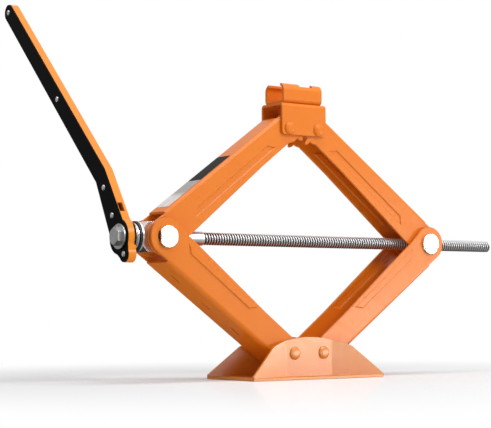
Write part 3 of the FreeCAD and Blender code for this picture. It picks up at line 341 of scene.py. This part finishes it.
def plated(name, colour, roughness, grain):
    """Zinc-plated or ground metal: fine grain, faint passivation clouds and bright edges."""
    material, nodes, links, shader = new_material(name)
    place = nodes.new("ShaderNodeTexCoord").outputs["Object"]
    normal, edge = soft_edges(nodes, links, PLATED_EDGE * MM)
    clouds = ramp(nodes, links, noise(nodes, links, place, PLATED_CLOUDS, 5, 0.6),
                  ((0.32, 0.0), (0.70, 1.0)))
    tint = tuple(channel * share for channel, share in zip(colour, (0.86, 0.84, 0.80)))
    body = mix(nodes, links, clouds, colour, tint)
    links.new(mix(nodes, links, edge, body, tuple(min(1, channel * 1.15) for channel in colour)),
              shader.inputs["Base Color"])
    shader.inputs["Metallic"].default_value = 1
    links.new(ramp(nodes, links, noise(nodes, links, place, PLATED_SHEEN, 6),
                   ((0.30, roughness - 0.07), (0.75, roughness + 0.08))), shader.inputs["Roughness"])
    scratches = noise(nodes, links, place, PLATED_SCRATCHES, 3, 0.6, (1, 1, 0.12))
    pits = noise(nodes, links, place, PLATED_PITS, 3, 0.5)
    bumps(nodes, links, shader, ((scratches, grain, 0.06 * MM), (pits, grain, 0.05 * MM)), normal)
    return material


def thread_steel(name, axis_height, crest, root):
    """Rolled thread round an axis at a height: plain steel on the crests, and painted shade darkening the
    roots.
    """
    material, nodes, links, shader = new_material(name)
    place = nodes.new("ShaderNodeTexCoord").outputs["Object"]
    split = axes(nodes, links, place)
    across = nodes.new("ShaderNodeCombineXYZ")
    links.new(split["Y"], across.inputs["Y"])
    links.new(arithmetic(nodes, links, "SUBTRACT", split["Z"], axis_height), across.inputs["Z"])
    radius = nodes.new("ShaderNodeVectorMath")
    radius.operation = "LENGTH"
    links.new(across.outputs["Vector"], radius.inputs[0])
    depth = remap(nodes, links, radius.outputs["Value"], root, crest)
    # The roots take painted shade, mottled, and the crests the plain steel
    shade_mottle = ramp(nodes, links, noise(nodes, links, place, THREAD_SHADE_MOTTLE, 5, 0.6), ((0.30, 0.6), (0.70, 1.0)))
    root_shade = mix(nodes, links, shade_mottle, tuple(2.4 * channel for channel in THREAD_ROOT_SHADE), THREAD_ROOT_SHADE)
    shade = ramp(nodes, links, depth, ((0.18, 0.0), (0.80, 1.0)))
    links.new(mix(nodes, links, shade, root_shade, SCREW_STEEL), shader.inputs["Base Color"])
    shader.inputs["Metallic"].default_value = 1
    links.new(ramp(nodes, links, noise(nodes, links, place, THREAD_SHEEN, 4), ((0.30, 0.34), (0.75, 0.46))),
              shader.inputs["Roughness"])
    bumps(nodes, links, shader, ((noise(nodes, links, place, THREAD_GRAIN, 4, 0.6), 0.08, 0.05 * MM),))
    return material


def moulded(name, colour, roughness):
    """Moulded plastic with a fine grain."""
    material, nodes, links, shader = new_material(name)
    place = nodes.new("ShaderNodeTexCoord").outputs["Object"]
    clouds = noise(nodes, links, place, MOULD_CLOUDS, 4)
    links.new(mix(nodes, links, clouds, colour, tuple(0.82 * channel for channel in colour)),
              shader.inputs["Base Color"])
    links.new(ramp(nodes, links, noise(nodes, links, place, MOULD_SHEEN, 4),
                   ((0.30, roughness - 0.05), (0.75, roughness + 0.07))), shader.inputs["Roughness"])
    bumps(nodes, links, shader, ((noise(nodes, links, place, MOULD_GRAIN, 3), 0.12, 0.05 * MM),))
    return material


def printed_film(name):
    """Label film with no print: black at its upper end, then grey, then pale, under faint streaks."""
    material, nodes, links, shader = new_material(name)
    coordinates = nodes.new("ShaderNodeTexCoord")
    along = axes(nodes, links, coordinates.outputs["UV"])["X"]
    border = (LABEL_SPLIT - LABEL_START) / (LABEL_END - LABEL_START)
    field = ramp(nodes, links, along,
                 ((0.0, LABEL_BLACK), (border - 0.002, LABEL_BLACK), (border, LABEL_GREY),
                  (border + 0.22, LABEL_GREY), (border + 0.32, LABEL_PALE), (1.0, LABEL_PALE)))
    streaks = ramp(nodes, links, noise(nodes, links, coordinates.outputs["UV"], LABEL_STREAKS, 3, 0.6,
                                       (0.25, 1, 1)), ((0.42, 0.0), (0.60, 0.45)))
    smudge = ramp(nodes, links, along, ((border - 0.002, LABEL_SMUDGE), (border, LABEL_GREY)))
    links.new(mix(nodes, links, streaks, field, smudge), shader.inputs["Base Color"])
    grain = noise(nodes, links, coordinates.outputs["Object"], LABEL_GRAIN, 3)
    links.new(ramp(nodes, links, grain, ((0.30, 0.38), (0.75, 0.50))), shader.inputs["Roughness"])
    shader.inputs["Specular IOR Level"].default_value = LABEL_GLOSS
    bumps(nodes, links, shader, ((grain, 0.10, 0.04 * MM),))
    return material


# Pieces

def piece(name, mesh, material, slot, body, *replaced, smooth=True):
    """Add a finished mesh to the scene as a piece of the jack."""
    mesh.materials.append(material)
    for face in mesh.polygons:
        face.use_smooth = smooth
    thing = bpy.data.objects.new(name, mesh)
    bpy.context.scene.collection.objects.link(thing)
    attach(thing, body)
    if replaced:
        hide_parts(*replaced)
    return thing


def lathe(mesh, rings, sides):
    """Close a surface round X through rings of x and a radius, which may be a function of the angle."""
    rows = []
    for x, radius in rings:
        row = []
        for index in range(sides):
            angle = 2 * math.pi * index / sides
            out = radius(angle) if callable(radius) else radius
            row.append(mesh.verts.new((x, out * math.cos(angle), out * math.sin(angle))))
        rows.append(row)
    for low, high in zip(rows, rows[1:]):
        for index in range(sides):
            following = (index + 1) % sides
            mesh.faces.new((low[index], low[following], high[following], high[index]))
    mesh.faces.new(list(reversed(rows[0])))
    mesh.faces.new(rows[-1])


def thread_radius(x, crest):
    """Radius of the thread at a place along the screw, as a function of the angle."""
    def at_angle(angle):
        """Rounded trapezoid: flat crest, sloping flanks and flat root."""
        turn = x / (THREAD_PITCH * MM) - angle / (2 * math.pi)
        wave = math.cos(2 * math.pi * turn)
        share = max(-1.0, min(1.0, THREAD_STEEPNESS * wave))
        return crest - THREAD_DEPTH * MM * (1 - share) / 2
    return at_angle


def middle_of(node):
    """Middle of a node's box."""
    low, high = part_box(node)
    return (low + high) / 2


def build_screw(material):
    """Lead screw with its rolled thread: drive end, collar, shank, thread and chamfered end."""
    low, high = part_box("lead_screw")
    height = middle_of("lead_screw").z
    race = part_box("thrust_race_outer")[0].x
    drive_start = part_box("drive_washer")[1].x
    drive_end = race - COLLAR_LENGTH * MM
    edge = COLLAR_EDGE * MM
    crest = THREAD_RADIUS * MM
    root = crest - THREAD_DEPTH * MM
    shank = SHANK_RADIUS * MM
    collar = (high.z - low.z) / 2
    shank_end = middle_of("thrust_joint_washers").x + SHANK_REACH * MM

    def hexagon(angle):
        """Six-sided drive."""
        sector = math.radians(60)
        return DRIVE_FLATS / 2 * MM / math.cos(angle % sector - sector / 2)

    mesh = bmesh.new()
    lathe(mesh, ((drive_start, hexagon), (drive_end, hexagon)), SHANK_SIDES)
    lathe(mesh, ((drive_end, collar - edge), (drive_end + edge, collar), (race - edge, collar),
                 (race, collar - edge)), COLLAR_SIDES)
    lathe(mesh, ((race, shank), (shank_end - THREAD_RUNOUT * MM, shank), (shank_end, root)), SHANK_SIDES)
    step = THREAD_PITCH * MM / THREAD_RINGS
    rings = []
    x = shank_end - THREAD_PITCH / 2 * MM
    while x < high.x:
        limit = crest - FREE_END_CHAMFER * MM + (high.x - x)
        profile = thread_radius(x, crest)
        rings.append((x, lambda angle, profile=profile, limit=limit: min(profile(angle), limit)))
        x += step
    rings.append((high.x, crest - FREE_END_CHAMFER * MM))
    lathe(mesh, rings, THREAD_SIDES)
    bmesh.ops.translate(mesh, verts=mesh.verts, vec=(0, 0, height))
    data = bpy.data.meshes.new("threaded_screw")
    mesh.to_mesh(data)
    mesh.free()
    screw = piece("threaded_screw", data, material, "screw_steel", "screw", "lead_screw")
    data.set_sharp_from_angle(angle=math.radians(SHARP_ANGLE))
    return screw


def build_pawl_spring(material):
    """Coil spring between the pawl's tail and the handle's wall."""
    low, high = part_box("pawl_spring")
    middle = middle_of("pawl_spring")
    across, rise = Vector(NECK_RUN).normalized()
    axis = Vector((0, -rise, across))
    # The spring's box spans its slanted ends too: height x cosine plus diameter x sine on each side
    radius = (high.x - low.x) / 2
    length = ((high.z - low.z) - 2 * radius * rise) / across
    side = Vector((1, 0, 0))
    other = axis.cross(side)
    wire = SPRING_WIRE * MM
    mesh = bmesh.new()
    rows = []
    count = SPRING_TURNS * SPRING_STEPS
    for index in range(count + 1):
        turn = 2 * math.pi * index / SPRING_STEPS
        out = side * math.cos(turn) + other * math.sin(turn)
        share = index / count
        centre = middle + axis * (share - 0.5) * (length - 2 * wire) + out * (radius - wire)
        rows.append([mesh.verts.new(centre + wire * (out * math.cos(a) + axis * math.sin(a)))
                     for a in (2 * math.pi * corner / SPRING_SIDES for corner in range(SPRING_SIDES))])
    for first, second in zip(rows, rows[1:]):
        for corner in range(SPRING_SIDES):
            following = (corner + 1) % SPRING_SIDES
            mesh.faces.new((first[corner], first[following], second[following], second[corner]))
    mesh.faces.new(list(reversed(rows[0])))
    mesh.faces.new(rows[-1])
    bmesh.ops.recalc_face_normals(mesh, faces=mesh.faces)
    data = bpy.data.meshes.new("pawl_coil_spring")
    mesh.to_mesh(data)
    mesh.free()
    piece("pawl_coil_spring", data, material, "hardened_steel", "wrench", "pawl_spring")


def build_label(material):
    """Thin film on the outer face of the upper left arm's web, with rounded corners and no print."""
    pin = middle_of("cap_pin_left")
    trunnion = middle_of("thrust_joint_washers")
    pin.y = trunnion.y = 0
    along = (trunnion - pin).normalized()
    outwards = Vector((0, 1, 0)).cross(along)
    if outwards.z < 0:
        outwards.negate()
    reach = (trunnion - pin).length

    def on_web(distance, across, lift):
        """Point of the web's outer plane, in metres, from millimetres along and across the arm."""
        share = distance * MM / reach
        offset = WEB_AT_PIN + (WEB_AT_TRUNNION - WEB_AT_PIN) * share + lift
        return pin + along * distance * MM + outwards * offset * MM + Vector((0, across * MM, 0))

    outline = []
    for end, inward in ((LABEL_START, 1), (LABEL_END, -1)):
        for side in ((-1, 1) if inward > 0 else (1, -1)):
            arc = []
            for step in range(LABEL_CORNER_STEPS + 1):
                angle = math.radians(90 / LABEL_CORNER_STEPS * step)
                arc.append((end + inward * LABEL_CORNER * (1 - math.cos(angle)),
                            side * (LABEL_HALF_WIDTH - LABEL_CORNER * (1 - math.sin(angle)))))
            if (inward > 0) == (side < 0):
                arc.reverse()
            outline.extend(arc)
    mesh = bmesh.new()
    lower = [mesh.verts.new(on_web(a, b, LABEL_LIFT)) for a, b in outline]
    upper = [mesh.verts.new(on_web(a, b, LABEL_LIFT + LABEL_THICKNESS)) for a, b in outline]
    mesh.faces.new(lower)
    mesh.faces.new(list(reversed(upper)))
    for index in range(len(outline)):
        following = (index + 1) % len(outline)
        mesh.faces.new((lower[index], upper[index], upper[following], lower[following]))
    bmesh.ops.recalc_face_normals(mesh, faces=mesh.faces)
    layer = mesh.loops.layers.uv.new("along_and_across")
    for face in mesh.faces:
        for loop in face.loops:
            distance = (loop.vert.co - pin).dot(along) / MM
            loop[layer].uv = ((distance - LABEL_START) / (LABEL_END - LABEL_START),
                              loop.vert.co.y / (2 * LABEL_HALF_WIDTH * MM) + 0.5)
    data = bpy.data.meshes.new("blank_label")
    mesh.to_mesh(data)
    mesh.free()
    piece("blank_label", data, material, "black_cage", "upper_left", smooth=False)


# Dressing the nodes

def dress():
    """Give every node its own finish, or else the finish of its record slot."""
    axis_height = middle_of("lead_screw").z
    finishes = {
        "orange_paint": painted("orange_paint", ORANGE, ORANGE_THIN_COAT_AND_HIGHLIGHT, 0.32, ARM_GLOSS, 0.06),
        "wrench_orange": painted("wrench_orange", WRENCH_ORANGE, WRENCH_THIN_COAT_AND_HIGHLIGHT, 0.28, WRENCH_GLOSS, 0.05),
        "black_cover": enamel("black_enamel"),
        "bright_zinc": plated("bright_zinc", ZINC, 0.27, 0.03),
        "screw_steel": thread_steel("screw_steel", axis_height, THREAD_RADIUS * MM,
                                    (THREAD_RADIUS - THREAD_DEPTH) * MM),
        "hardened_steel": plated("hardened_steel", TOOL_STEEL, 0.28, 0.22),
        "black_cage": moulded("black_cage", CAGE_BLACK, 0.42),
    }
    # The base plate and its pins take a duller, less red copy of the orange: painted shade against the strong
    # light on the base
    shaded_foot = painted("foot_shaded_paint", FOOT_SHADED_ORANGE, FOOT_SHADED_THIN_AND_HIGHLIGHT, 0.32, FOOT_GLOSS, 0.06)
    # The drive bolt and its washer take a darker copy of the zinc as painted shade
    zinc_in_shade = plated("zinc_shaded_copy", SHADED_ZINC, 0.34, 0.20)
    own_finish = {"base_plate": shaded_foot, "base_pin_left": shaded_foot, "base_pin_right": shaded_foot,
                  "drive_bolt": zinc_in_shade, "drive_washer": zinc_in_shade}
    for entry in frame["record"]["subparts"]:
        thing = frame["nodes"][entry["node"]]
        thing.data.materials.clear()
        thing.data.materials.append(own_finish.get(entry["node"], finishes[entry["material_slot"]]))
    return finishes


# Room

def floor():
    """Pale floor that fades to white away from the jack and holds its shadow and a faint reflection."""
    bpy.ops.mesh.primitive_plane_add(size=FLOOR_SIZE, location=(0, 0, -FLOOR_DROP))
    plane = bpy.context.object
    plane.name = "floor"
    material = bpy.data.materials.new("pale_floor")
    material.use_nodes = True
    nodes, links = material.node_tree.nodes, material.node_tree.links
    nodes.clear()
    diffuse = nodes.new("ShaderNodeBsdfDiffuse")
    diffuse.inputs["Color"].default_value = (*FLOOR_COLOUR, 1)
    gloss = nodes.new("ShaderNodeBsdfGlossy")
    gloss.inputs["Roughness"].default_value = FLOOR_ROUGHNESS
    sheen = nodes.new("ShaderNodeMixShader")
    sheen.inputs["Fac"].default_value = FLOOR_SHEEN
    links.new(diffuse.outputs["BSDF"], sheen.inputs[1])
    links.new(gloss.outputs["BSDF"], sheen.inputs[2])
    paths = nodes.new("ShaderNodeLightPath").outputs
    lift = nodes.new("ShaderNodeEmission")
    links.new(arithmetic(nodes, links, "MULTIPLY", paths["Is Camera Ray"], FLOOR_OWN_LIGHT),
              lift.inputs["Strength"])
    lit = nodes.new("ShaderNodeAddShader")
    links.new(sheen.outputs["Shader"], lit.inputs[0])
    links.new(lift.outputs["Emission"], lit.inputs[1])
    position = nodes.new("ShaderNodeNewGeometry").outputs["Position"]
    distance = nodes.new("ShaderNodeVectorMath")
    distance.operation = "LENGTH"
    links.new(position, distance.inputs[0])
    fade = remap(nodes, links, distance.outputs["Value"], FADE_START, FADE_END, curve="SMOOTHSTEP")
    faded = arithmetic(nodes, links, "MULTIPLY", fade, paths["Is Camera Ray"])
    plain = arithmetic(nodes, links, "ADD", paths["Is Glossy Ray"], faded)
    behind = remap(nodes, links, axes(nodes, links, position)["Y"], FLOOR_NEAR, FLOOR_FAR)
    mirrored = ramp(nodes, links, behind, FLOOR_MIRRORED)
    beyond = nodes.new("ShaderNodeEmission")
    links.new(remap(nodes, links, paths["Is Glossy Ray"], 0.0, 1.0, 1.0, mirrored), beyond.inputs["Strength"])
    blend = nodes.new("ShaderNodeMixShader")
    links.new(plain, blend.inputs["Fac"])
    links.new(lit.outputs["Shader"], blend.inputs[1])
    links.new(beyond.outputs["Emission"], blend.inputs[2])
    output = nodes.new("ShaderNodeOutputMaterial")
    links.new(blend.outputs["Shader"], output.inputs["Surface"])
    material.cycles.emission_sampling = "NONE"
    plane.data.materials.append(material)


def world():
    """White room: white to the eye, softer as light, and in reflections white above a grey horizon."""
    room = bpy.data.worlds.new("white_room")
    room.use_nodes = True
    bpy.context.scene.world = room
    nodes, links = room.node_tree.nodes, room.node_tree.links
    back = nodes["Background"]
    back.inputs["Color"].default_value = (1, 1, 1, 1)
    paths = nodes.new("ShaderNodeLightPath").outputs
    direction = nodes.new("ShaderNodeTexCoord").outputs["Generated"]
    mirrored = ramp(nodes, links, axes(nodes, links, direction)["Z"], ROOM_MIRRORED)

    def choose(factor, first, second):
        """Number that runs from a first value to a second."""
        node = nodes.new("ShaderNodeMix")
        links.new(factor, node.inputs["Factor"])
        feed(links, node.inputs["A"], first)
        feed(links, node.inputs["B"], second)
        return node.outputs["Result"]

    level = choose(paths["Is Glossy Ray"], WORLD_LEVEL, mirrored)
    level = choose(paths["Is Transmission Ray"], level, 1.0)
    level = choose(paths["Is Camera Ray"], level, 1.0)
    links.new(level, back.inputs["Strength"])


def collection_of(name, things):
    """Collection that names the objects a card shows in."""
    group = bpy.data.collections.new(name)
    for thing in things:
        group.objects.link(thing)
    return group


def lamp(name, place, target, size, power, mirrored_in=None):
    """Soft box aimed at a point, or a card that shows in the reflections of some pieces alone."""
    data = bpy.data.lights.new(name, "AREA")
    data.shape = "RECTANGLE"
    data.size, data.size_y = size
    data.energy = power
    thing = bpy.data.objects.new(name, data)
    thing.location = place
    thing.rotation_euler = (Vector(target) - Vector(place)).to_track_quat("-Z", "Y").to_euler()
    thing.visible_camera = False
    if mirrored_in:
        thing.visible_diffuse = False
        thing.light_linking.receiver_collection = mirrored_in
    bpy.context.scene.collection.objects.link(thing)
    return thing


def lights(screw):
    """Key, top light, low panel and rear fill, and the cards that low and bright pieces mirror."""
    lamp("key", *KEY)
    lamp("top", *TOP)
    lamp("low_panel", *LOW_PANEL)
    lamp("rear_fill", *REAR_FILL).visible_glossy = False
    low_pieces = collection_of("low_pieces", [frame["nodes"][name] for name in LOW_PIECES])
    bright_pieces = collection_of("bright_pieces", [frame["nodes"]["thrust_trunnion"],
                                                    frame["nodes"]["nut_trunnion"], screw])
    lamp("journal_card", *JOURNAL_CARD, bright_pieces)
    for name, place in LOW_CARDS.items():
        lamp(name, place, LOW_CARD_TARGET, LOW_CARD_SIZE, LOW_CARD_POWER, low_pieces)


def camera():
    """Camera at the photograph's viewing angle."""
    data = bpy.data.cameras.new("camera")
    data.sensor_width = 36
    data.lens = CAMERA_FOCAL_PIXELS / IMAGE_WIDTH * data.sensor_width
    thing = bpy.data.objects.new("camera", data)
    yaw, pitch = math.radians(CAMERA_YAW), math.radians(CAMERA_PITCH)
    forward = Vector((-math.sin(yaw) * math.cos(pitch), math.cos(yaw) * math.cos(pitch), math.sin(pitch)))
    level = forward.to_track_quat("-Z", "Y").to_matrix().to_4x4()
    roll = Matrix.Rotation(math.radians(CAMERA_ROLL), 4, "Z")
    thing.matrix_world = Matrix.Translation(CAMERA_PLACE) @ level @ roll
    bpy.context.scene.collection.objects.link(thing)
    bpy.context.scene.camera = thing


finishes = dress()
screw = build_screw(finishes["screw_steel"])
build_pawl_spring(finishes["hardened_steel"])
build_label(printed_film("label_film"))
floor()
world()
lights(screw)
camera()
bpy.context.scene.view_settings.view_transform = "Standard"
